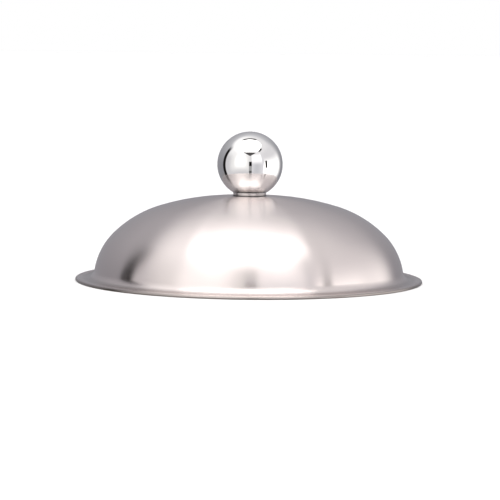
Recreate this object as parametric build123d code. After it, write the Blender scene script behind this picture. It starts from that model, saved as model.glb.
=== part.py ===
"""Domed dish cover with a ball knob.

A spun stainless-steel dome with a hemmed brim keeps a plated dish warm. A hollow polished ball stands on a short
collar at the crown. One screw, put in from inside the dome, pulls the collar down onto a thin seal.

Millimetres. The Z axis is the cover's own axis. The origin is at the centre of the plane that the cover rests on,
which is the underside of the hem.
"""

from build123d import *
from math import atan2, cos, radians, sin, sqrt
import os

# ---- dome -----------------------------------------------------------------------------------------------------
sheet = 0.8                 # wall of the spun sheet
brim_diameter = 260.0       # over the rounded edge of the brim
brim_width = 6.4            # flat ring between the foot fillet and the hem's bend
dome_rise = 61.7            # from the brim's upper face to the knob's seat
seat_radius = 13.0          # flat at the crown, under the collar
crown_angle = 17.2          # slope where the crown arc meets the middle arc, in degrees
middle_angle = 44.6         # slope where the middle arc meets the shoulder arc
wall_angle = 80.5           # slope of the wall: nearly upright
middle_radius = 83.2
wall_length = 0.3           # straight stretch of the wall, below the shoulder
foot_fillet = 7.0           # outside radius between wall and brim
hem_gap = 0.4               # space left inside the flattened hem
hem_leaf = 4.6              # flat width of the leaf that is folded under

# ---- knob -----------------------------------------------------------------------------------------------------
ball_diameter = 49.0
ball_wall = 1.0
neck_diameter = 24.9        # of the ball's mouth and the top of the collar
collar_height = 2.0
collar_taper = 0.3          # how much smaller in radius the collar is at its foot
spigot_height = 1.5
spigot_clearance = 0.15
seal_thickness = 0.5
seal_margin = 0.05          # how far the seal stands inside the neck's radius

# ---- fixing: M5 -----------------------------------------------------------------------------------------------
thread_diameter = 5.0
thread_clearance = 0.05     # between the plain cylinders that stand for the threads
screw_length = 12.0
screw_tip_chamfer = 0.6
head_diameter = 9.5
head_height = 3.7
head_edge = 0.5             # straight rim of the pan head, above its dome
recess_width = 5.0          # over the arms of the cross recess
recess_arm = 1.1
recess_depth = 2.4
recess_core = 2.0
hole_clearance = 0.5        # of the holes in the crown and the seal over the thread
insert_barrel_wall = 1.5    # from the thread out
insert_barrel_height = 6.0
insert_flange_reach = 2.75  # of the flange beyond the body
insert_flange_height = 1.5
insert_body_wall = 1.25     # from the thread out
insert_fit = 0.02           # radial clearance of the insert in the collar
flat_washer_diameter = 15.0
flat_washer_clearance = 0.3
flat_washer_thickness = 1.2
spring_washer_wire = 2.05   # radial width of the washer's section
spring_washer_clearance = 0.1
spring_washer_thickness = 1.2
spring_washer_split = 0.9
spring_washer_lean = 20.0   # slant of the split, in degrees from the axis

# ---- sizes that follow ----------------------------------------------------------------------------------------
hem_thickness = 2 * sheet + hem_gap
brim_radius = brim_diameter / 2
brim_z = hem_thickness
seat_z = brim_z + dome_rise
foot_radius = brim_radius - hem_thickness / 2 - brim_width      # where the foot fillet runs out onto the brim
seal_z = seat_z + seal_thickness
mouth_z = seal_z + collar_height
ball_radius = ball_diameter / 2
neck_radius = neck_diameter / 2
ball_drop = sqrt(ball_radius**2 - neck_radius**2)                 # from the ball's centre down to its mouth
ball_z = mouth_z + ball_drop
mouth_bore = sqrt((ball_radius - ball_wall) ** 2 - ball_drop**2)
spigot_radius = mouth_bore - spigot_clearance
seal_radius = neck_radius - seal_margin
clearance_hole = thread_diameter + hole_clearance
insert_body_radius = thread_diameter / 2 + insert_body_wall
flat_washer_z = seat_z - sheet - flat_washer_thickness
spring_washer_z = flat_washer_z - spring_washer_thickness


def dome_arc_radii():
    """Radii of the crown and shoulder arcs that make the tangent chain reach both the seat and the foot.

    Going out from the seat's edge, the chain is crown arc, middle arc, shoulder arc, straight wall, foot fillet.
    Its run and its drop are each a sum that is linear in the two radii.
    """
    crown, middle, wall = radians(crown_angle), radians(middle_angle), radians(wall_angle)
    run = foot_radius - seat_radius
    run -= middle_radius * (sin(middle) - sin(crown)) + wall_length * cos(wall) + foot_fillet * sin(wall)
    drop = dome_rise
    drop -= middle_radius * (cos(crown) - cos(middle)) + wall_length * sin(wall) + foot_fillet * (1 - cos(wall))
    crown_run, crown_drop = sin(crown), 1 - cos(crown)
    shoulder_run, shoulder_drop = sin(wall) - sin(middle), cos(middle) - cos(wall)
    scale = crown_run * shoulder_drop - shoulder_run * crown_drop
    crown_radius = (run * shoulder_drop - drop * shoulder_run) / scale
    shoulder_radius = (drop * crown_run - run * crown_drop) / scale
    return crown_radius, shoulder_radius


def sheet_face(inset):
    """One face of the sheet in section, from the crown hole to the end of the hem's leaf.

    inset is 0 for the outer face and the sheet's thickness for the inner one. Radii of bends that the outer face
    rounds on the outside shrink by it, and the foot fillet's grows. Returns the edges in order.
    """
    crown_radius, shoulder_radius = dome_arc_radii()
    edges = [Line((clearance_hole / 2, seat_z - inset), (seat_radius, seat_z - inset))]

    def bend(radius, turn):
        last = edges[-1]
        edges.append(JernArc(last @ 1, last % 1, radius, turn))

    def straight(length):
        last = edges[-1]
        edges.append(Line(last @ 1, last @ 1 + (last % 1) * length))

    bend(crown_radius - inset, -crown_angle)
    bend(middle_radius - inset, crown_angle - middle_angle)
    bend(shoulder_radius - inset, middle_angle - wall_angle)
    straight(wall_length)
    bend(foot_fillet + inset, wall_angle)
    straight(brim_width)
    bend(hem_thickness / 2 - inset, -180)
    straight(hem_leaf)
    return edges


def turned(*outline):
    """A solid of revolution about Z from an outline of (radius, height) points."""
    return revolve(Plane.XZ * make_face(Polyline(*outline, close=True)), Axis.Z)


def ring(outer_radius, inner_radius, base, height):
    return turned(
        (inner_radius, base), (outer_radius, base), (outer_radius, base + height), (inner_radius, base + height)
    )


def make_dome_cover():
    """Spun dome: one sheet of even thickness, from the crown hole to the hem folded under the brim."""
    outer, inner = sheet_face(0), sheet_face(sheet)
    ends = [Line(outer[0] @ 0, inner[0] @ 0), Line(outer[-1] @ 1, inner[-1] @ 1)]
    return revolve(Plane.XZ * make_face(outer + inner + ends), Axis.Z)


def make_knob_ball():
    """Hollow ball, cut flat at its mouth."""
    shell = Sphere(ball_radius) - Sphere(ball_radius - ball_wall)
    below_mouth = Pos(0, 0, -ball_drop) * Box(
        ball_diameter, ball_diameter, ball_diameter, align=(Align.CENTER, Align.CENTER, Align.MAX)
    )
    return Pos(0, 0, ball_z) * (shell - below_mouth)


def make_neck_collar():
    """Turned ring under the ball, slightly smaller at its foot, with a spigot that centres it in the mouth."""
    bore = insert_body_radius + insert_fit
    return turned(
        (bore, seal_z),
        (neck_radius - collar_taper, seal_z),
        (neck_radius, mouth_z),
        (spigot_radius, mouth_z),
        (spigot_radius, mouth_z + spigot_height),
        (bore, mouth_z + spigot_height),
    )


def make_neck_gasket():
    return ring(seal_radius, clearance_hole / 2, seat_z, seal_thickness)


def make_threaded_insert():
    """Flanged nut inside the ball. Its body fills the collar's bore and its flange is welded on the spigot."""
    bore = thread_diameter / 2 + thread_clearance
    flange_z = mouth_z + spigot_height
    barrel_z = flange_z + insert_flange_height
    return turned(
        (bore, seal_z),
        (insert_body_radius, seal_z),
        (insert_body_radius, flange_z),
        (insert_body_radius + insert_flange_reach, flange_z),
        (insert_body_radius + insert_flange_reach, barrel_z),
        (thread_diameter / 2 + insert_barrel_wall, barrel_z),
        (thread_diameter / 2 + insert_barrel_wall, barrel_z + insert_barrel_height),
        (bore, barrel_z + insert_barrel_height),
    )


def make_knob_screw():
    """Pan-head screw with a cross recess. Its head hangs inside the dome and its shank points up."""
    head_radius = head_diameter / 2
    shank = thread_diameter / 2
    tip_z = spring_washer_z + screw_length
    crown_z = spring_washer_z - head_height
    rim_z = spring_washer_z - head_edge
    side = Line((head_radius, spring_washer_z), (head_radius, rim_z))
    pan_width, pan_depth = head_radius, rim_z - crown_z
    pan_radius = (pan_width**2 + pan_depth**2) / (2 * pan_depth)
    pan_centre = crown_z + pan_radius
    half = atan2(pan_width, pan_centre - rim_z) / 2
    pan_middle = (pan_radius * sin(half), pan_centre - pan_radius * cos(half))
    pan = ThreePointArc((head_radius, rim_z), pan_middle, (0, crown_z))
    back = Polyline(
        (0, crown_z),
        (0, tip_z),
        (shank - screw_tip_chamfer, tip_z),
        (shank, tip_z - screw_tip_chamfer),
        (shank, spring_washer_z),
        (head_radius, spring_washer_z),
    )
    blank = revolve(Plane.XZ * make_face([side, pan, back]), Axis.Z)
    low = (Align.CENTER, Align.CENTER, Align.MIN)
    recess = Cone(recess_core / 2 + recess_arm / 2, recess_core / 4, recess_depth, align=low)
    for turn in (0, 90):
        recess += Rot(0, 0, turn) * Box(recess_width, recess_arm, recess_depth * 0.8, align=low)
    return blank - Pos(0, 0, crown_z) * recess


def make_spring_washer():
    """Split lock washer, drawn flat, with a slanting cut."""
    bore = (thread_diameter + spring_washer_clearance) / 2
    washer = ring(bore + spring_washer_wire, bore, spring_washer_z, spring_washer_thickness)
    cut = Rot(spring_washer_lean, 0, 0) * Box(
        2 * spring_washer_wire, spring_washer_split, 3 * spring_washer_thickness
    )
    return washer - Pos(bore + spring_washer_wire / 2, 0, spring_washer_z + spring_washer_thickness / 2) * cut


def make_flat_washer():
    bore = (thread_diameter + flat_washer_clearance) / 2
    return ring(flat_washer_diameter / 2, bore, flat_washer_z, flat_washer_thickness)


pieces = {
    "dome_cover": make_dome_cover(),
    "knob_ball": make_knob_ball(),
    "neck_collar": make_neck_collar(),
    "neck_gasket": make_neck_gasket(),
    "threaded_insert": make_threaded_insert(),
    "knob_screw": make_knob_screw(),
    "spring_washer": make_spring_washer(),
    "flat_washer": make_flat_washer(),
}

os.makedirs("parts", exist_ok=True)
for name, piece in pieces.items():
    export_step(piece, f"parts/{name}.step")
    print(name, len(piece.solids()), "solid", round(piece.volume, 2), "mm3")

crown_radius, shoulder_radius = dome_arc_radii()
print("crown arc", round(crown_radius, 2), "shoulder arc", round(shoulder_radius, 2))
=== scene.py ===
"""Looks of a domed dish cover with a ball knob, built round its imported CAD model.

The dome, ball, collar and seal are lathe-turned surfaces: an outline of radius and height, carried once round
the Z axis. Every size is in metres, and Z is the cover's own axis.
"""

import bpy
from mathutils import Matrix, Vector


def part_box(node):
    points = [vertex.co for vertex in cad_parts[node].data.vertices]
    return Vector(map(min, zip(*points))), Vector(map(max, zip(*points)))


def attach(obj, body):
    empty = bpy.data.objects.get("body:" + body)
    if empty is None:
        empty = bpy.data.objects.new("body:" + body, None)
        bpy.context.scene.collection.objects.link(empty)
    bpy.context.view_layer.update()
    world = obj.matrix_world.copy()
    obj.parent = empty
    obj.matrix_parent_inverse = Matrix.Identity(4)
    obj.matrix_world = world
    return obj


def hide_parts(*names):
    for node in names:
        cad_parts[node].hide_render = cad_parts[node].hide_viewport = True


bl_info = {
    "name": "Domed Dish Cover",
    "version": (1, 0, 0),
    "blender": (4, 5, 0),
    "location": "View3D > Sidebar > Dish Cover",
    "description": "Builds a satin steel dish cover with a polished ball knob, and a small studio for it",
    "category": "Add Mesh",
}

from math import asin, cos, pi, radians, sin, sqrt

import bpy
import numpy as np
from bpy.props import FloatProperty, FloatVectorProperty, IntProperty, PointerProperty
from mathutils import Matrix, Vector

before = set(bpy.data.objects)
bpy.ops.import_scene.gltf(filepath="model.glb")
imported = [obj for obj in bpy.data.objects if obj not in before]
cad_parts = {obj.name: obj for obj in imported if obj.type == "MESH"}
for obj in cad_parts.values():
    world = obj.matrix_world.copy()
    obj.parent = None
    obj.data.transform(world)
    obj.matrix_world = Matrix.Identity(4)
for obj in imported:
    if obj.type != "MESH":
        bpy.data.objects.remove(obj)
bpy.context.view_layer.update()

DOME_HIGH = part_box("dome_cover")[1]
BALL_LOW, BALL_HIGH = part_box("knob_ball")
COLLAR_LOW, COLLAR_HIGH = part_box("neck_collar")
SEAL_LOW, SEAL_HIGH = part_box("neck_gasket")
MM = 0.001
TIGHT_BEND = 10 * MM        # arcs of up to this radius are drawn in steps of TIGHT_STEP
TIGHT_STEP = radians(6)
SHEET_EDGE = 0.12 * MM      # rounding of the dome's cut edges
MOUTH_EDGE = 0.06 * MM      # rounding of the ball's cut edges
FLOOR_GAP = 0.02 * MM       # between the hem and the floor, so that their faces don't coincide
POLE = 1e-7                 # outline points nearer to the axis than this are poles


# ---- settings ----------------------------------------------------------------------------------------------
def length(name, description, default):
    return FloatProperty(
        name=name, description=description, default=default, min=0.0, unit="LENGTH", precision=5
    )


def angle(name, description, default):
    return FloatProperty(name=name, description=description, default=radians(default), subtype="ANGLE")


def colour(name, description, default):
    return FloatVectorProperty(
        name=name, description=description, default=default, subtype="COLOR", size=3, min=0.0, max=1.0
    )


def share(name, description, default):
    return FloatProperty(
        name=name, description=description, default=default, min=0.0, max=1.0, subtype="FACTOR"
    )


class DomeSettings(bpy.types.PropertyGroup):
    """Sizes and finish of the spun dome."""

    brim_radius: length("Brim radius", "Over the rounded edge of the brim", DOME_HIGH.x)
    brim_width: length("Brim width", "Flat ring between the foot fillet and the hem", 6.4 * MM)
    seat_height: length("Seat height", "Height of the flat under the collar", DOME_HIGH.z)
    seat_radius: length("Seat radius", "Flat at the crown", 13 * MM)
    hole_radius: length("Hole radius", "Screw hole in the crown", 2.75 * MM)
    sheet: length("Sheet", "Thickness of the metal", 0.8 * MM)
    hem_gap: length("Hem gap", "Space left inside the flattened hem", 0.4 * MM)
    hem_leaf: length("Hem leaf", "Width of the leaf that is folded under", 4.6 * MM)
    crown_angle: angle("Crown angle", "Slope where the crown arc ends", 17.2)
    middle_angle: angle("Middle angle", "Slope where the middle arc ends", 44.6)
    wall_angle: angle("Wall angle", "Slope of the wall", 80.5)
    middle_arc: length("Middle arc", "Radius of the middle arc", 83.2 * MM)
    wall_length: length("Wall length", "Straight stretch below the shoulder", 0.3 * MM)
    foot_fillet: length("Foot fillet", "Radius between wall and brim", 7 * MM)
    segments: IntProperty(name="Segments", description="Faces round the dome", default=384, min=24, max=512)
    steel: colour("Steel", "Colour of the satin steel", (0.77, 0.70, 0.683))
    roughness: share("Roughness", "Roughness of the satin outside", 0.256)
    grain: share("Grain", "How much wider the blur is across the turning lines than along them", 1.0)


class KnobSettings(bpy.types.PropertyGroup):
    """Sizes and finish of the ball, its collar and the seal."""

    ball_radius: length("Ball radius", "Radius of the ball", 24.5 * MM)
    ball_wall: length("Ball wall", "Thickness of the hollow ball", 1 * MM)
    neck_radius: length("Neck radius", "Radius of the ball's mouth and the collar's top", COLLAR_HIGH.x)
    collar_taper: length("Collar taper", "How much smaller the collar is at its foot", 0.3 * MM)
    collar_bore: length("Collar bore", "Bore that holds the insert", 3.77 * MM)
    spigot_height: length("Spigot height", "Spigot that stands inside the ball", 1.5 * MM)
    spigot_clearance: length("Spigot clearance", "Between spigot and mouth", 0.15 * MM)
    edge_round: length("Edge rounding", "Rounding of the turned edges", 0.1 * MM)
    segments: IntProperty(name="Segments", description="Faces round the ball", default=256, min=24, max=512)
    polished: colour("Polished steel", "Colour of the polished steel", (0.85, 0.84, 0.835))
    rubber: colour("Seal", "Colour of the seal", (0.02, 0.019, 0.018))


class StudioSettings(bpy.types.PropertyGroup):
    """Where the camera stands and how the studio is lit."""

    distance: length("Distance", "From the camera to the middle of the brim", 1.7)
    elevation: angle("Elevation", "Height of the camera above the horizon", 5.96)
    roll: angle("Roll", "Lean of the camera", 0.63)
    aim_up: length("Aim up", "How far above the brim the camera looks", 20.8 * MM)
    aim_side: length("Aim side", "How far beside the axis the camera looks", 0.7 * MM)
    lens: FloatProperty(
        name="Lens", description="Focal length", default=162.8, min=20, max=400, subtype="DISTANCE_CAMERA"
    )
    floor: colour("Floor", "Colour of the floor", (0.9, 0.9, 0.9))


# ---- outlines and lathe work -------------------------------------------------------------------------------
class Outline:
    """A pen that draws a lathe outline of straight runs and tangent arcs in the plane of radius and height.

    It goes clockwise round the material, so the outside is on its left. Each point keeps its exact outward
    normal.
    """

    def __init__(self, radius, height, heading=0.0):
        self.place = np.array([radius, height])
        self.heading = heading
        self.points = [self.place[None]]
        self.normals = [self._left(np.array([heading]))]

    @staticmethod
    def _left(headings):
        return np.stack([-np.sin(headings), np.cos(headings)], 1)

    def run(self, distance):
        """A straight run along the heading."""
        self.place = self.place + distance * np.array([cos(self.heading), sin(self.heading)])
        self.points.append(self.place[None])
        self.normals.append(self._left(np.array([self.heading])))

    def bend(self, radius, turn, step=radians(2.2)):
        """A tangent arc: place = centre - side * radius * left(heading), while the heading turns.

        turn is positive to the left. Every arc takes at least six steps.
        """
        side = 1 if turn > 0 else -1
        if radius <= TIGHT_BEND:
            step = TIGHT_STEP
        count = max(6, int(abs(turn) / step))
        headings = self.heading + np.linspace(0, turn, count + 1)
        left = self._left(headings)
        centre = self.place + side * radius * left[0]
        arc = centre - side * radius * left
        self.points.append(arc[1:])
        self.normals.append(left[1:])
        self.place, self.heading = arc[-1], headings[-1]

    def finished(self):
        return np.concatenate(self.points), np.concatenate(self.normals)


def rounded_outline(corners, edge_round):
    """Outline of a closed polygon of (radius, height) corners, clockwise, each corner a small tangent arc.

    The arc of radius e at a corner that turns by t starts e * tan(t / 2) before the corner.
    """
    corners = np.array(corners, float)
    ahead = np.roll(corners, -1, 0) - corners
    lengths = np.hypot(*ahead.T)
    headings = np.arctan2(ahead[:, 1], ahead[:, 0])
    turns = (np.roll(headings, -1) - headings + pi) % (2 * pi) - pi
    cut = edge_round * np.tan(np.abs(turns) / 2)
    first = corners[0] + (ahead[0] / lengths[0]) * cut[-1]
    pen = Outline(*first, headings[0])
    for index in range(len(corners)):
        pen.run(lengths[index] - cut[index] - cut[index - 1])
        pen.bend(edge_round, turns[index])
    points, normals = pen.finished()
    return points[:-1], normals[:-1]


def lathe(name, outline, segments, attributes=None):
    """Carries an outline once round Z: (r, z) becomes (r cos a, r sin a, z) on a grid of angles a.

    An outline that starts and ends on the axis closes in two poles. Any other one closes on itself.
    attributes maps a name to one value for each outline point, kept on the mesh for the materials.
    """
    points, normals = outline
    on_axis = points[:, 0] < POLE
    count = len(points)
    angles = np.linspace(0, 2 * pi, segments, endpoint=False)
    spin = np.stack([np.cos(angles), np.sin(angles)], 1)

    def spun(values):
        flat = values[:, 0][:, None, None] * spin[None]
        height = np.broadcast_to(values[:, 1][:, None, None], (count, segments, 1))
        return np.concatenate([flat, height], 2).reshape(-1, 3)

    places, directions = spun(points), spun(normals)
    index = np.arange(count * segments).reshape(count, segments)
    index[on_axis] = index[on_axis][:, :1]
    lower = index if not on_axis[0] else index[:-1]
    upper = np.roll(index, -1, 0) if not on_axis[0] else index[1:]
    quads = np.stack([lower, upper, np.roll(upper, -1, 1), np.roll(lower, -1, 1)], 2).reshape(-1, 4)
    used, quads = np.unique(quads, return_inverse=True)
    quads = quads.reshape(-1, 4)
    starts_flat = quads[:, 0] == quads[:, 3]
    ends_flat = quads[:, 1] == quads[:, 2]
    whole = quads[~(starts_flat | ends_flat)].tolist()
    fans = quads[starts_flat][:, :3].tolist() + quads[ends_flat][:, [0, 1, 3]].tolist()
    mesh = bpy.data.meshes.new(name)
    mesh.from_pydata(places[used], [], whole + fans)
    mesh.polygons.foreach_set("use_smooth", np.ones(len(mesh.polygons), bool))
    mesh.normals_split_custom_set_from_vertices(directions[used])
    for key, values in (attributes or {}).items():
        layer = mesh.attributes.new(key, "FLOAT", "POINT")
        layer.data.foreach_set("value", np.repeat(values, segments)[used].astype(np.float32))
    mesh.validate()
    piece = bpy.data.objects.new(name, mesh)
    bpy.context.scene.collection.objects.link(piece)
    return piece


def dome_arcs(dome, brim_height):
    """Radii of the crown and shoulder arcs that bring the tangent chain from the seat's edge to the brim.

    The run and the drop of the chain are each a sum that is linear in the two radii.
    """
    crown, middle, wall = dome.crown_angle, dome.middle_angle, dome.wall_angle
    foot_radius = dome.brim_radius - (dome.sheet + dome.hem_gap / 2) - dome.brim_width
    run = foot_radius - dome.seat_radius - dome.middle_arc * (sin(middle) - sin(crown))
    run -= dome.wall_length * cos(wall) + dome.foot_fillet * sin(wall)
    drop = dome.seat_height - brim_height - dome.middle_arc * (cos(crown) - cos(middle))
    drop -= dome.wall_length * sin(wall) + dome.foot_fillet * (1 - cos(wall))
    sums = np.array([[sin(crown), sin(wall) - sin(middle)], [1 - cos(crown), cos(middle) - cos(wall)]])
    return np.linalg.solve(sums, [run, drop])


def dome_outline(dome):
    """Section of the spun sheet: the outer face, the hem, the folded leaf, and back along the inner face."""
    hem_thickness = 2 * dome.sheet + dome.hem_gap
    crown_arc, shoulder_arc = dome_arcs(dome, hem_thickness)
    crown, middle, wall = dome.crown_angle, dome.middle_angle, dome.wall_angle
    seat_run = dome.seat_radius - dome.hole_radius - SHEET_EDGE
    pen = Outline(dome.hole_radius + SHEET_EDGE, dome.seat_height)
    pen.run(seat_run)
    pen.bend(crown_arc, -crown)
    pen.bend(dome.middle_arc, crown - middle)
    pen.bend(shoulder_arc, middle - wall)
    pen.run(dome.wall_length)
    pen.bend(dome.foot_fillet, wall)
    pen.run(dome.brim_width)
    pen.bend(hem_thickness / 2, -pi)
    outside = sum(map(len, pen.points))
    pen.run(dome.hem_leaf)
    pen.bend(SHEET_EDGE, -pi / 2)
    pen.run(dome.sheet - 2 * SHEET_EDGE)
    pen.bend(SHEET_EDGE, -pi / 2)
    pen.run(dome.hem_leaf)
    pen.bend(dome.hem_gap / 2, pi)
    pen.run(dome.brim_width)
    pen.bend(dome.foot_fillet + dome.sheet, -wall)
    pen.run(dome.wall_length)
    pen.bend(shoulder_arc - dome.sheet, wall - middle)
    pen.bend(dome.middle_arc - dome.sheet, middle - crown)
    pen.bend(crown_arc - dome.sheet, crown)
    pen.run(seat_run)
    pen.bend(SHEET_EDGE, -pi / 2)
    pen.run(dome.sheet - 2 * SHEET_EDGE)
    pen.bend(SHEET_EDGE, -pi / 2)
    points, normals = pen.finished()
    inside = (np.arange(len(points)) >= outside).astype(float)
    return (points[:-1], normals[:-1]), {"inside": inside[:-1]}


def mouth_bore_radius(knob):
    """The mouth is sqrt(ball^2 - neck^2) below the ball's centre, and cuts the inner sphere at that depth."""
    drop = sqrt(knob.ball_radius**2 - knob.neck_radius**2)
    return sqrt((knob.ball_radius - knob.ball_wall) ** 2 - drop**2)


def ball_outline(knob, top):
    """Section of the hollow ball: outer sphere, flat mouth with its edges just broken, inner sphere."""
    inner_radius = knob.ball_radius - knob.ball_wall
    mouth_bore = mouth_bore_radius(knob)
    outer_turn = pi - asin(knob.neck_radius / knob.ball_radius)
    inner_turn = pi - asin(mouth_bore / inner_radius)
    pen = Outline(0.0, top)
    pen.bend(knob.ball_radius, -outer_turn, step=radians(1.5))
    pen.bend(MOUTH_EDGE, outer_turn - pi)
    pen.run(knob.neck_radius - mouth_bore - 2 * MOUTH_EDGE)
    pen.bend(MOUTH_EDGE, -inner_turn)
    pen.bend(inner_radius, inner_turn, step=radians(5))
    points, normals = pen.finished()
    points[-1, 0] = 0.0
    return points, normals


# ---- shader maths ------------------------------------------------------------------------------------------
class Wire:
    """An output socket that takes part in Python arithmetic: each operation adds the Math node for it."""

    def __init__(self, graph, socket):
        self.graph, self.socket = graph, socket

    def maths(self, operation, *others):
        """The Math node for an operation whose first operand is this wire."""
        return self.graph.node("ShaderNodeMath", {"operation": operation}, dict(enumerate((self, *others))))

    def __add__(self, other):
        return self.maths("ADD", other)

    def __sub__(self, other):
        return self.maths("SUBTRACT", other)

    def __rsub__(self, other):
        return -self + other

    def __mul__(self, other):
        return self.maths("MULTIPLY", other)

    def __truediv__(self, other):
        return self.maths("DIVIDE", other)

    def __neg__(self):
        return self.maths("MULTIPLY", -1.0)

    __radd__, __rmul__ = __add__, __mul__


class Graph:
    """A node tree that is filled by one method, node()."""

    def __init__(self, tree):
        self.tree = tree
        tree.nodes.clear()

    def node(self, kind, settings=None, sockets=None, out=0):
        """Adds a node, sets its settings, then its sockets by name or number. Returns an output as a Wire."""
        node = self.tree.nodes.new(kind)
        for key, value in (settings or {}).items():
            setattr(node, key, value)
        for key, value in (sockets or {}).items():
            if isinstance(value, Wire):
                self.tree.links.new(value.socket, node.inputs[key])
            else:
                node.inputs[key].default_value = value
        return Wire(self, node.outputs[out]) if node.outputs else node

    def smooth(self, value, low, high, start=0.0, end=1.0):
        """Eases from start to end as value goes from low to high."""
        limits = {"Value": value, 1: low, 2: high, 3: start, 4: end}
        return self.node("ShaderNodeMapRange", {"interpolation_type": "SMOOTHSTEP"}, limits)

    def window(self, value, low, high):
        """Is 1 between two edges and fades to 0 outside them. Each edge is a place and its softness."""
        (low, soft_low), (high, soft_high) = low, high
        start = self.smooth(value, low - soft_low, low + soft_low)
        return start * self.smooth(value, high - soft_high, high + soft_high, 1.0, 0.0)

    def mix(self, factor, first, second):
        """Mixes two colours."""
        sockets = {0: factor, 6: first, 7: second}
        return self.node("ShaderNodeMix", {"data_type": "RGBA"}, sockets, out=2)

    def noise(self, vector, scale, detail=2.0, roughness=0.5, w=0.0):
        sockets = {"Vector": vector, "W": w, "Scale": scale, "Detail": detail, "Roughness": roughness}
        return self.node("ShaderNodeTexNoise", {"noise_dimensions": "4D"}, sockets)

    def bump(self, height, strength, distance):
        sockets = {"Strength": strength, "Distance": distance, "Height": height}
        return self.node("ShaderNodeBump", None, sockets)

    def vector(self, x, y, z):
        return self.node("ShaderNodeCombineXYZ", None, {0: x, 1: y, 2: z})

    def split(self, vector):
        parts = self.node("ShaderNodeSeparateXYZ", None, {0: vector}).socket.node.outputs
        return [Wire(self, part) for part in parts]

    def place(self):
        """Object coordinates as a vector and as its three parts."""
        whole = self.node("ShaderNodeTexCoord", None, None, out=3)
        return whole, *self.split(whole)


def opaque(rgb):
    """The colour as a shader socket takes it."""
    return (*rgb, 1.0)


def tinted(rgb, factor):
    """The colour made lighter or darker by a factor."""
    return opaque([min(1.0, part * factor) for part in rgb])


def surface(name, build, **constants):
    """A material whose Principled shader takes constants by name and the wires that build(graph) returns."""
    material = bpy.data.materials.new(name)
    material.use_nodes = True
    graph = Graph(material.node_tree)
    sockets = {key.replace("_", " "): value for key, value in constants.items()}
    sockets.update(build(graph))
    shader = graph.node("ShaderNodeBsdfPrincipled", None, sockets)
    graph.node("ShaderNodeOutputMaterial", None, {"Surface": shader})
    return material


# ---- materials ---------------------------------------------------------------------------------------------
NEAR_AXIS = 1e-5                        # keeps the turning lines from a division by nothing on the axis
ROOT_PAINTED_SHADE = (0.40, 0.36, 0.345)         # painted shade where the brim meets the dome's foot
EDGE_PAINTED_SHADE = (0.35, 0.31, 0.29)          # painted shade on the brim's rounded edge
UNDER_PAINTED_SHADE = (0.20, 0.175, 0.16)        # darker painted shade on the lower half of that edge, next to the floor
COLLAR_PAINTED_SHADE = (0.36, 0.33, 0.32)        # painted shade on the flat round the collar, under the ball
FASTENER_BRIGHT = (0.66, 0.655, 0.645)
FASTENER_DULL = (0.52, 0.51, 0.50)


def turning_lines(graph, pitch, streak=2.5):
    """Noise that is fine along the outline and long round the axis, like the marks of a lathe.

    Its place in noise space is (r / pitch, z / pitch, x / r), with y / r as the fourth coordinate, so that it
    has no seam. streak is how often the noise changes round the axis.
    """
    _, x, y, z = graph.place()
    r = (x * x + y * y).maths("SQRT")
    spot = graph.vector(r / pitch, z / pitch, x / (r + NEAR_AXIS) * streak)
    return graph.noise(spot, 1.0, roughness=0.6, w=y / (r + NEAR_AXIS) * streak)


def satin_steel(dome):
    """Spun steel dressed on the lathe: even satin outside and duller inside.

    Darker rings of painted shade lie at the root of the brim, on its edge, which is darkest underneath, and
    round the collar. All of them go by the distance from the axis.
    """

    def build(graph):
        whole, x, y, z = graph.place()
        inside = graph.node("ShaderNodeAttribute", {"attribute_name": "inside"}, None, out=2)
        fine = turning_lines(graph, 0.16 * MM)
        coarse = turning_lines(graph, 0.9 * MM, streak=1.2)
        cloud = graph.noise(whole, 22.0, detail=3.0, roughness=0.55)
        radius = (x * x + y * y).maths("SQRT")
        brim = dome.brim_radius
        edge = graph.smooth(radius, brim - 1.3 * MM, brim - 0.5 * MM) * (1 - inside)
        under = edge * graph.smooth(z, 1.3 * MM, 0.3 * MM)
        root = graph.smooth(radius, brim - 13 * MM, brim - 10 * MM)
        root = root * graph.smooth(radius, brim - 4 * MM, brim - 7 * MM, 0.3, 1.0) * (1 - inside)
        collar = graph.smooth(radius, dome.seat_radius + 3 * MM, dome.seat_radius) * (1 - inside)
        steel = graph.mix(0.6 * cloud + 0.4 * coarse, tinted(dome.steel, 0.965), tinted(dome.steel, 1.03))
        steel = graph.mix(inside * 0.5, steel, tinted(dome.steel, 0.86))
        # painted shade at the foot of the wall, fading to a third of it on the outer brim
        steel = graph.mix(root * 0.55, steel, opaque(ROOT_PAINTED_SHADE))
        # painted shade on the brim's rounded edge, varied by the coarse turning lines
        steel = graph.mix(edge * (0.55 + 0.4 * coarse), steel, opaque(EDGE_PAINTED_SHADE))
        # painted shadow on the lower half of the brim's edge, next to the floor
        steel = graph.mix(under * 0.6, steel, opaque(UNDER_PAINTED_SHADE))
        # painted shade on the dome round the collar, under the ball
        steel = graph.mix(collar * 0.6, steel, opaque(COLLAR_PAINTED_SHADE))
        roughness = dome.roughness + 0.05 * (fine - 0.5) + 0.04 * (cloud - 0.5)
        roughness = roughness + 0.17 * inside + 0.08 * edge
        bump = graph.bump(0.7 * fine + 0.3 * coarse, strength=0.12, distance=0.02 * MM)
        return {"Base Color": steel, "Roughness": roughness, "Normal": bump}

    return surface("satin_steel", build, Metallic=1.0, Anisotropic=dome.grain, Anisotropic_Rotation=0.25)


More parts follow.
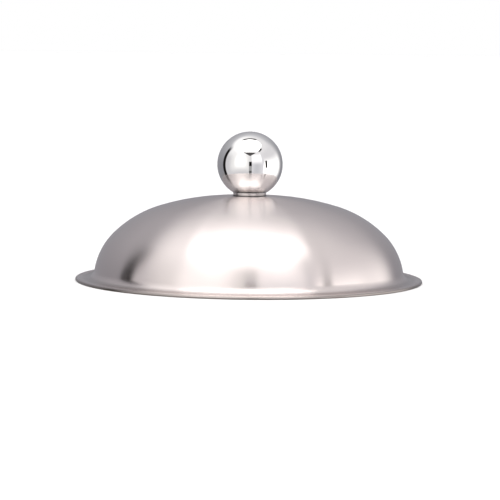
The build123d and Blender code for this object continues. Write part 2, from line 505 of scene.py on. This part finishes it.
def polished_steel(knob, name, shine, lines):
    """Mirror-polished steel with hairline scratches and faint handling marks.

    shine is the least roughness. lines is the share of lathe marks; it also darkens the steel's colour, which
    is painted shade for the collar under the ball.
    """
    # lines darken the colour: painted shade, used for the collar under the ball
    shade = [part * (1 - 0.8 * lines) for part in knob.polished]

    def build(graph):
        whole, x, y, z = graph.place()
        smear = graph.smooth(graph.noise(whole, 60.0, detail=4.0, roughness=0.6), 0.45, 0.75)
        hairs = graph.noise(graph.vector(x, y * 9, z), 500.0)
        marks = turning_lines(graph, 0.12 * MM)
        scratches = graph.smooth(hairs, 0.62, 0.72)
        roughness = shine + 0.025 * smear + 0.02 * scratches + lines * 0.12 * (marks - 0.4)
        tone = graph.mix(smear * 0.5, opaque(shade), tinted(shade, 0.975))
        bump = graph.bump(0.5 * hairs + 0.5 * marks, strength=0.03 + 0.1 * lines, distance=0.01 * MM)
        return {"Base Color": tone, "Roughness": roughness, "Normal": bump}

    return surface(name, build, Metallic=1.0)


def seal_rubber(knob):
    """Matt black rubber with a fine moulded grain and a little dust."""

    def build(graph):
        whole, *_ = graph.place()
        grain = graph.noise(whole, 4200.0, detail=3.0, roughness=0.6)
        dust = graph.smooth(graph.noise(whole, 900.0, detail=3.0, roughness=0.6), 0.55, 0.8)
        skin = graph.mix(dust * 0.5, opaque(knob.rubber), opaque([part * 3 + 0.02 for part in knob.rubber]))
        bump = graph.bump(grain, strength=0.3, distance=0.03 * MM)
        return {"Base Color": skin, "Roughness": 0.58 + 0.15 * dust, "Normal": bump}

    return surface("seal_rubber", build, Specular_IOR_Level=0.4)


def plain_steel():
    """Bright fastener steel, with turning marks and a little dulling in patches."""

    def build(graph):
        whole, *_ = graph.place()
        marks = turning_lines(graph, 0.1 * MM)
        dull = graph.smooth(graph.noise(whole, 700.0, detail=4.0, roughness=0.6), 0.4, 0.75)
        tone = graph.mix(dull, opaque(FASTENER_BRIGHT), opaque(FASTENER_DULL))
        bump = graph.bump(marks, strength=0.25, distance=0.02 * MM)
        return {"Base Color": tone, "Roughness": 0.26 + 0.14 * dull + 0.06 * marks, "Normal": bump}

    return surface("plain_steel", build, Metallic=1.0)


def dress(piece, material):
    """Gives a piece its material."""
    piece.data.materials.clear()
    piece.data.materials.append(material)


def settle(piece, node, material):
    """Seats a new piece: it rides on the only body and stands for its CAD node."""
    dress(piece, material)
    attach(piece, "root")
    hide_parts(node)


# ---- studio light ------------------------------------------------------------------------------------------
# Left and right bearing, lower and upper height, each with its softness in degrees, then the brightness.
# Later panels lie on top.
PANELS = (
    ((-98, 2), (60, 18), (-60, 14), (76, 14), (0.72, 0.71, 0.73)),         # left half of the room
    ((20, 18), (128, 18), (-60, 14), (76, 14), (0.83, 0.815, 0.835)),      # right half of the room
    ((-73, 13), (2, 12), (-18, 14), (64, 10), (1.00, 0.99, 0.98)),         # soft fill, front left
    ((-92, 5), (-44, 8), (26, 12), (62, 8), (1.10, 1.09, 1.09)),           # upper left wall
    ((6, 3), (53, 3), (-26, 10), (30, 12), (0.86, 0.85, 0.88)),            # soft fill, front right
    ((13, 10), (38, 12), (-34, 12), (8, 14), (0.68, 0.68, 0.71)),          # duller patch low in that fill
    ((53, 2), (125, 12), (-24, 10), (14, 12), (1.46, 1.445, 1.43)),        # right wall
    ((50, 3), (92, 10), (-22, 8), (4, 8), (2.20, 2.165, 2.13)),            # bright foot of the right wall
    ((-55, 8), (-14, 10), (-4, 14), (30, 16), (1.50, 1.49, 1.47)),         # reflector, front left
    ((6, 2), (44, 2), (10, 10), (46, 10), (1.34, 1.33, 1.34)),             # reflector, front right, higher up
    ((-110, 1.5), (-96, 1.5), (-28, 4), (38, 8), (0.012, 0.011, 0.011)),   # dark strip at the far left
    ((56.2, 1), (63.6, 1), (-9, 1.5), (13, 1.5), (0.02, 0.02, 0.02)),      # narrow dark gap in the right wall
    ((-3.5, 1), (6.5, 1), (-28, 2), (-3, 2), (0.40, 0.40, 0.405)),         # stand straight ahead, lower part
    ((-3.5, 1), (6.5, 1), (-28, 2), (-20, 2), (0.12, 0.12, 0.12)),         # its foot
    ((-3.4, 1), (6.4, 1), (-3.5, 1.5), (12, 1.5), (0.012, 0.011, 0.011)),  # its dark upper part
)

# The walls behind the panels. Their brightness climbs from WALL_FOOT, over WALL_RISE degrees, by WALL_POWER.
WALL_FOOT, WALL_RISE, WALL_POWER = -10, 75, 1.6
HORIZON = (0.295, 0.295, 0.32)
ZENITH = (0.78, 0.78, 0.81)
GROUND = (0.30, 0.275, 0.26)
GROUND_TOP, GROUND_FULL = -14, -30      # heights where the ground begins and where it is all that is seen

# The softbox lies in a ceiling at height 1. Sizes are across, then along.
SOFTBOX_MIDDLE = (-0.012, -0.39)
SOFTBOX_HALF = (0.63, 0.575)
SOFTBOX_POWER = 3.0
SOFTBOX_GLOW = (2.7, 2.68, 2.66)
HALO_RIGHT = (0.93, 0.92, 0.93)
HALO_LEFT = (1.36, 1.35, 1.35)
FRAME_DARK = (0.03, 0.025, 0.025)

# The wedge hangs below the softbox, with its tip down. It widens by WEDGE_SPREAD degrees for each degree up.
WEDGE_TIP, WEDGE_TOP, WEDGE_SPREAD = 32, 43, 2.4
WEDGE_DARK = (0.11, 0.105, 0.105)


# ---- operators ---------------------------------------------------------------------------------------------
class DISHCOVER_OT_dome(bpy.types.Operator):
    """Spin the dome with its hemmed brim"""

    bl_idname = "dishcover.dome"
    bl_label = "Dome"

    def execute(self, context):
        dome = context.scene.dish_dome
        outline, attributes = dome_outline(dome)
        piece = lathe("spun_dome", outline, dome.segments, attributes)
        settle(piece, "dome_cover", satin_steel(dome))
        return {"FINISHED"}


class DISHCOVER_OT_knob(bpy.types.Operator):
    """Turn the ball, its collar and the seal under it"""

    bl_idname = "dishcover.knob"
    bl_label = "Knob"

    def execute(self, context):
        knob = context.scene.dish_knob
        ball = lathe("polished_ball", ball_outline(knob, BALL_HIGH.z), knob.segments)
        settle(ball, "knob_ball", polished_steel(knob, "polished_steel", 0.03, 0.0))

        spigot = mouth_bore_radius(knob) - knob.spigot_clearance
        mouth, foot = BALL_LOW.z, COLLAR_LOW.z
        collar = lathe("turned_collar", rounded_outline([
            (knob.collar_bore, COLLAR_HIGH.z),
            (spigot, COLLAR_HIGH.z),
            (spigot, mouth),
            (knob.neck_radius, mouth),
            (knob.neck_radius - knob.collar_taper, foot),
            (knob.collar_bore, foot),
        ], knob.edge_round), knob.segments)
        # its lines of 0.3 also darken the collar's colour, painted shade under the ball
        settle(collar, "neck_collar", polished_steel(knob, "turned_steel", 0.05, 0.3))

        seal_bore = context.scene.dish_dome.hole_radius
        seal = lathe("seal_washer", rounded_outline([
            (seal_bore, SEAL_HIGH.z),
            (SEAL_HIGH.x, SEAL_HIGH.z),
            (SEAL_HIGH.x, SEAL_LOW.z),
            (seal_bore, SEAL_LOW.z),
        ], knob.edge_round), knob.segments)
        settle(seal, "neck_gasket", seal_rubber(knob))
        return {"FINISHED"}


class DISHCOVER_OT_fixing(bpy.types.Operator):
    """Finish the screw, its washers and the threaded insert"""

    bl_idname = "dishcover.fixing"
    bl_label = "Fixing"

    def execute(self, context):
        steel = plain_steel()
        for node in ("threaded_insert", "knob_screw", "spring_washer", "flat_washer"):
            dress(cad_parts[node], steel)
        return {"FINISHED"}


class DISHCOVER_OT_studio(bpy.types.Operator):
    """Lay the floor, light the studio and set up the camera"""

    bl_idname = "dishcover.studio"
    bl_label = "Studio"

    def execute(self, context):
        studio = context.scene.dish_studio
        context.scene.view_settings.view_transform = "Standard"
        self.lay_floor(studio)
        self.light(context.scene)
        self.place_camera(context.scene, studio)
        return {"FINISHED"}

    def lay_floor(self, studio):
        """A flat floor of one face, with corners at reach * (cos a, sin a). Reflections pass through it."""
        reach, sides = 30.0, 64
        angles = np.linspace(0, 2 * pi, sides, endpoint=False)
        rim = np.stack([reach * np.cos(angles), reach * np.sin(angles), np.zeros(sides)], 1)
        mesh = bpy.data.meshes.new("floor")
        mesh.from_pydata(rim, [], [list(range(sides))])
        floor = bpy.data.objects.new("floor", mesh)
        floor.location.z = -FLOOR_GAP
        bpy.context.scene.collection.objects.link(floor)

        def build(graph):
            whole, *_ = graph.place()
            cloud = graph.noise(whole, 6.0, detail=3.0)
            pale = graph.mix(cloud, tinted(studio.floor, 0.99), opaque(studio.floor))
            return {"Base Color": pale, "Roughness": 0.7 + 0.1 * cloud}

        mesh.materials.append(surface("floor_paper", build, Specular_IOR_Level=0.1))
        floor.visible_glossy = False

    def light(self, scene):
        """A surrounding of soft panels and a softbox, worked out from the direction in which it is seen.

        What the camera sees past the object is plain white.
        """
        world = bpy.data.worlds.new("studio")
        world.use_nodes = True
        scene.world = world
        graph = Graph(world.node_tree)
        x, y, z = graph.split(graph.node("ShaderNodeTexCoord"))
        bearing = x.maths("ARCTAN2", -y) * (180 / pi)
        height = z.maths("ARCSINE") * (180 / pi)
        light = self.panels(graph, bearing, height)
        light = self.softbox(graph, light, (x, y, z), bearing, height)
        light = graph.mix(graph.node("ShaderNodeLightPath"), light, opaque((1.0, 1.0, 1.0)))
        shine = graph.node("ShaderNodeBackground", None, {"Color": light, "Strength": 1.0})
        graph.node("ShaderNodeOutputWorld", None, {"Surface": shine})

    def panels(self, graph, bearing, height):
        """Walls that brighten upwards as ((height - foot) / rise)^power, a dull ground, and panels on top.

        The bearing is 0 straight towards the camera and grows to the right. The height is the angle above the
        horizon. Each panel is a soft-edged window in bearing and height with its own brightness.
        """
        climb = ((height - WALL_FOOT) / WALL_RISE).maths("MAXIMUM", 0.0).maths("POWER", WALL_POWER)
        light = graph.mix(climb, opaque(HORIZON), opaque(ZENITH))
        light = graph.mix(graph.smooth(height, GROUND_TOP, GROUND_FULL), light, opaque(GROUND))
        for left, right, low, high, rgb in PANELS:
            mask = graph.window(bearing, left, right) * graph.window(height, low, high)
            light = graph.mix(mask, light, opaque(rgb))
        return light

    def softbox(self, graph, light, direction, bearing, height):
        """The softbox overhead, its glow, its dark frame, and a dark wedge that hangs below it.

        The direction meets the ceiling at (x / z, y / z), and (u, v) is that point seen from the softbox's
        middle. reach = (|u / half|^power + |v / half|^power)^(1 / power) is 1 on the edge of the softbox,
        which is a superellipse. The frame shows at the back, at the front and on the right flank.
        """
        x, y, z = direction
        above = z.maths("MAXIMUM", 0.05)
        u, v = x / above - SOFTBOX_MIDDLE[0], y / above - SOFTBOX_MIDDLE[1]
        across, along = u / SOFTBOX_HALF[0], v / SOFTBOX_HALF[1]
        reach = across.maths("ABSOLUTE").maths("POWER", SOFTBOX_POWER)
        reach = reach + along.maths("ABSOLUTE").maths("POWER", SOFTBOX_POWER)
        reach = reach.maths("POWER", 1 / SOFTBOX_POWER)
        glow = graph.mix(graph.smooth(u, 0.3, -0.5), opaque(HALO_RIGHT), opaque(HALO_LEFT))
        light = graph.mix(graph.smooth(reach, 2.15, 1.15), light, glow)

        back = graph.smooth(v, 0.35, 0.5) * graph.window(u, (-0.3, 0.06), (0.27, 0.06))
        front = graph.smooth(v, -0.47, -0.55) * graph.window(u, (-0.5, 0.1), (0.42, 0.1))
        flank = graph.smooth(u, 0.45, 0.6) * graph.window(v, (-0.36, 0.05), (0.05, 0.05))
        rim = graph.window(reach, (1.0, 0.03), (1.22, 0.03)) * (back + front + flank)
        light = graph.mix(rim, light, opaque(FRAME_DARK))

        spread = (height - WEDGE_TIP) * WEDGE_SPREAD - bearing.maths("ABSOLUTE")
        wedge = graph.smooth(spread, -1, 1) * graph.window(height, (WEDGE_TIP - 1, 1), (WEDGE_TOP, 1))
        light = graph.mix(wedge, light, opaque(WEDGE_DARK))
        return graph.mix(graph.smooth(reach, 1.02, 0.97), light, opaque(SOFTBOX_GLOW))

    def place_camera(self, scene, studio):
        """The camera stands back from the middle of the brim, aims a little above it, and leans by roll."""
        back = Vector((0, -cos(studio.elevation), sin(studio.elevation)))
        up = Vector((0, sin(studio.elevation), cos(studio.elevation)))
        middle = Vector((0, 0, 2 * MM))     # of the brim's upper face
        camera = bpy.data.objects.new("camera", bpy.data.cameras.new("camera"))
        camera.data.lens = studio.lens
        camera.data.clip_end = 100
        camera.location = middle + back * studio.distance
        aim = middle + up * studio.aim_up + Vector((studio.aim_side, 0, 0))
        look = (aim - camera.location).to_track_quat("-Z", "Y").to_matrix()
        camera.rotation_euler = (look @ Matrix.Rotation(studio.roll, 3, "Z")).to_euler()
        scene.collection.objects.link(camera)
        scene.camera = camera


class DISHCOVER_PT_panel(bpy.types.Panel):
    """Sizes, finishes and steps of the dish cover"""

    bl_label = "Dish Cover"
    bl_space_type = "VIEW_3D"
    bl_region_type = "UI"
    bl_category = "Dish Cover"

    def draw(self, context):
        for title, key, operator in (
            ("Dome", "dish_dome", "dishcover.dome"),
            ("Knob", "dish_knob", "dishcover.knob"),
            ("Studio", "dish_studio", "dishcover.studio"),
        ):
            box = self.layout.box()
            box.label(text=title)
            settings = getattr(context.scene, key)
            for name in settings.__annotations__:
                box.prop(settings, name)
            box.operator(operator)
        self.layout.operator("dishcover.fixing")


CLASSES = (
    DomeSettings,
    KnobSettings,
    StudioSettings,
    DISHCOVER_OT_dome,
    DISHCOVER_OT_knob,
    DISHCOVER_OT_fixing,
    DISHCOVER_OT_studio,
    DISHCOVER_PT_panel,
)


def register():
    for item in CLASSES:
        bpy.utils.register_class(item)
    bpy.types.Scene.dish_dome = PointerProperty(type=DomeSettings)
    bpy.types.Scene.dish_knob = PointerProperty(type=KnobSettings)
    bpy.types.Scene.dish_studio = PointerProperty(type=StudioSettings)


def unregister():
    del bpy.types.Scene.dish_studio
    del bpy.types.Scene.dish_knob
    del bpy.types.Scene.dish_dome
    for item in reversed(CLASSES):
        bpy.utils.unregister_class(item)


def main():
    """Builds everything in order."""
    register()
    bpy.ops.dishcover.dome()
    bpy.ops.dishcover.knob()
    bpy.ops.dishcover.fixing()
    bpy.ops.dishcover.studio()


if __name__ == "__main__":
    main()
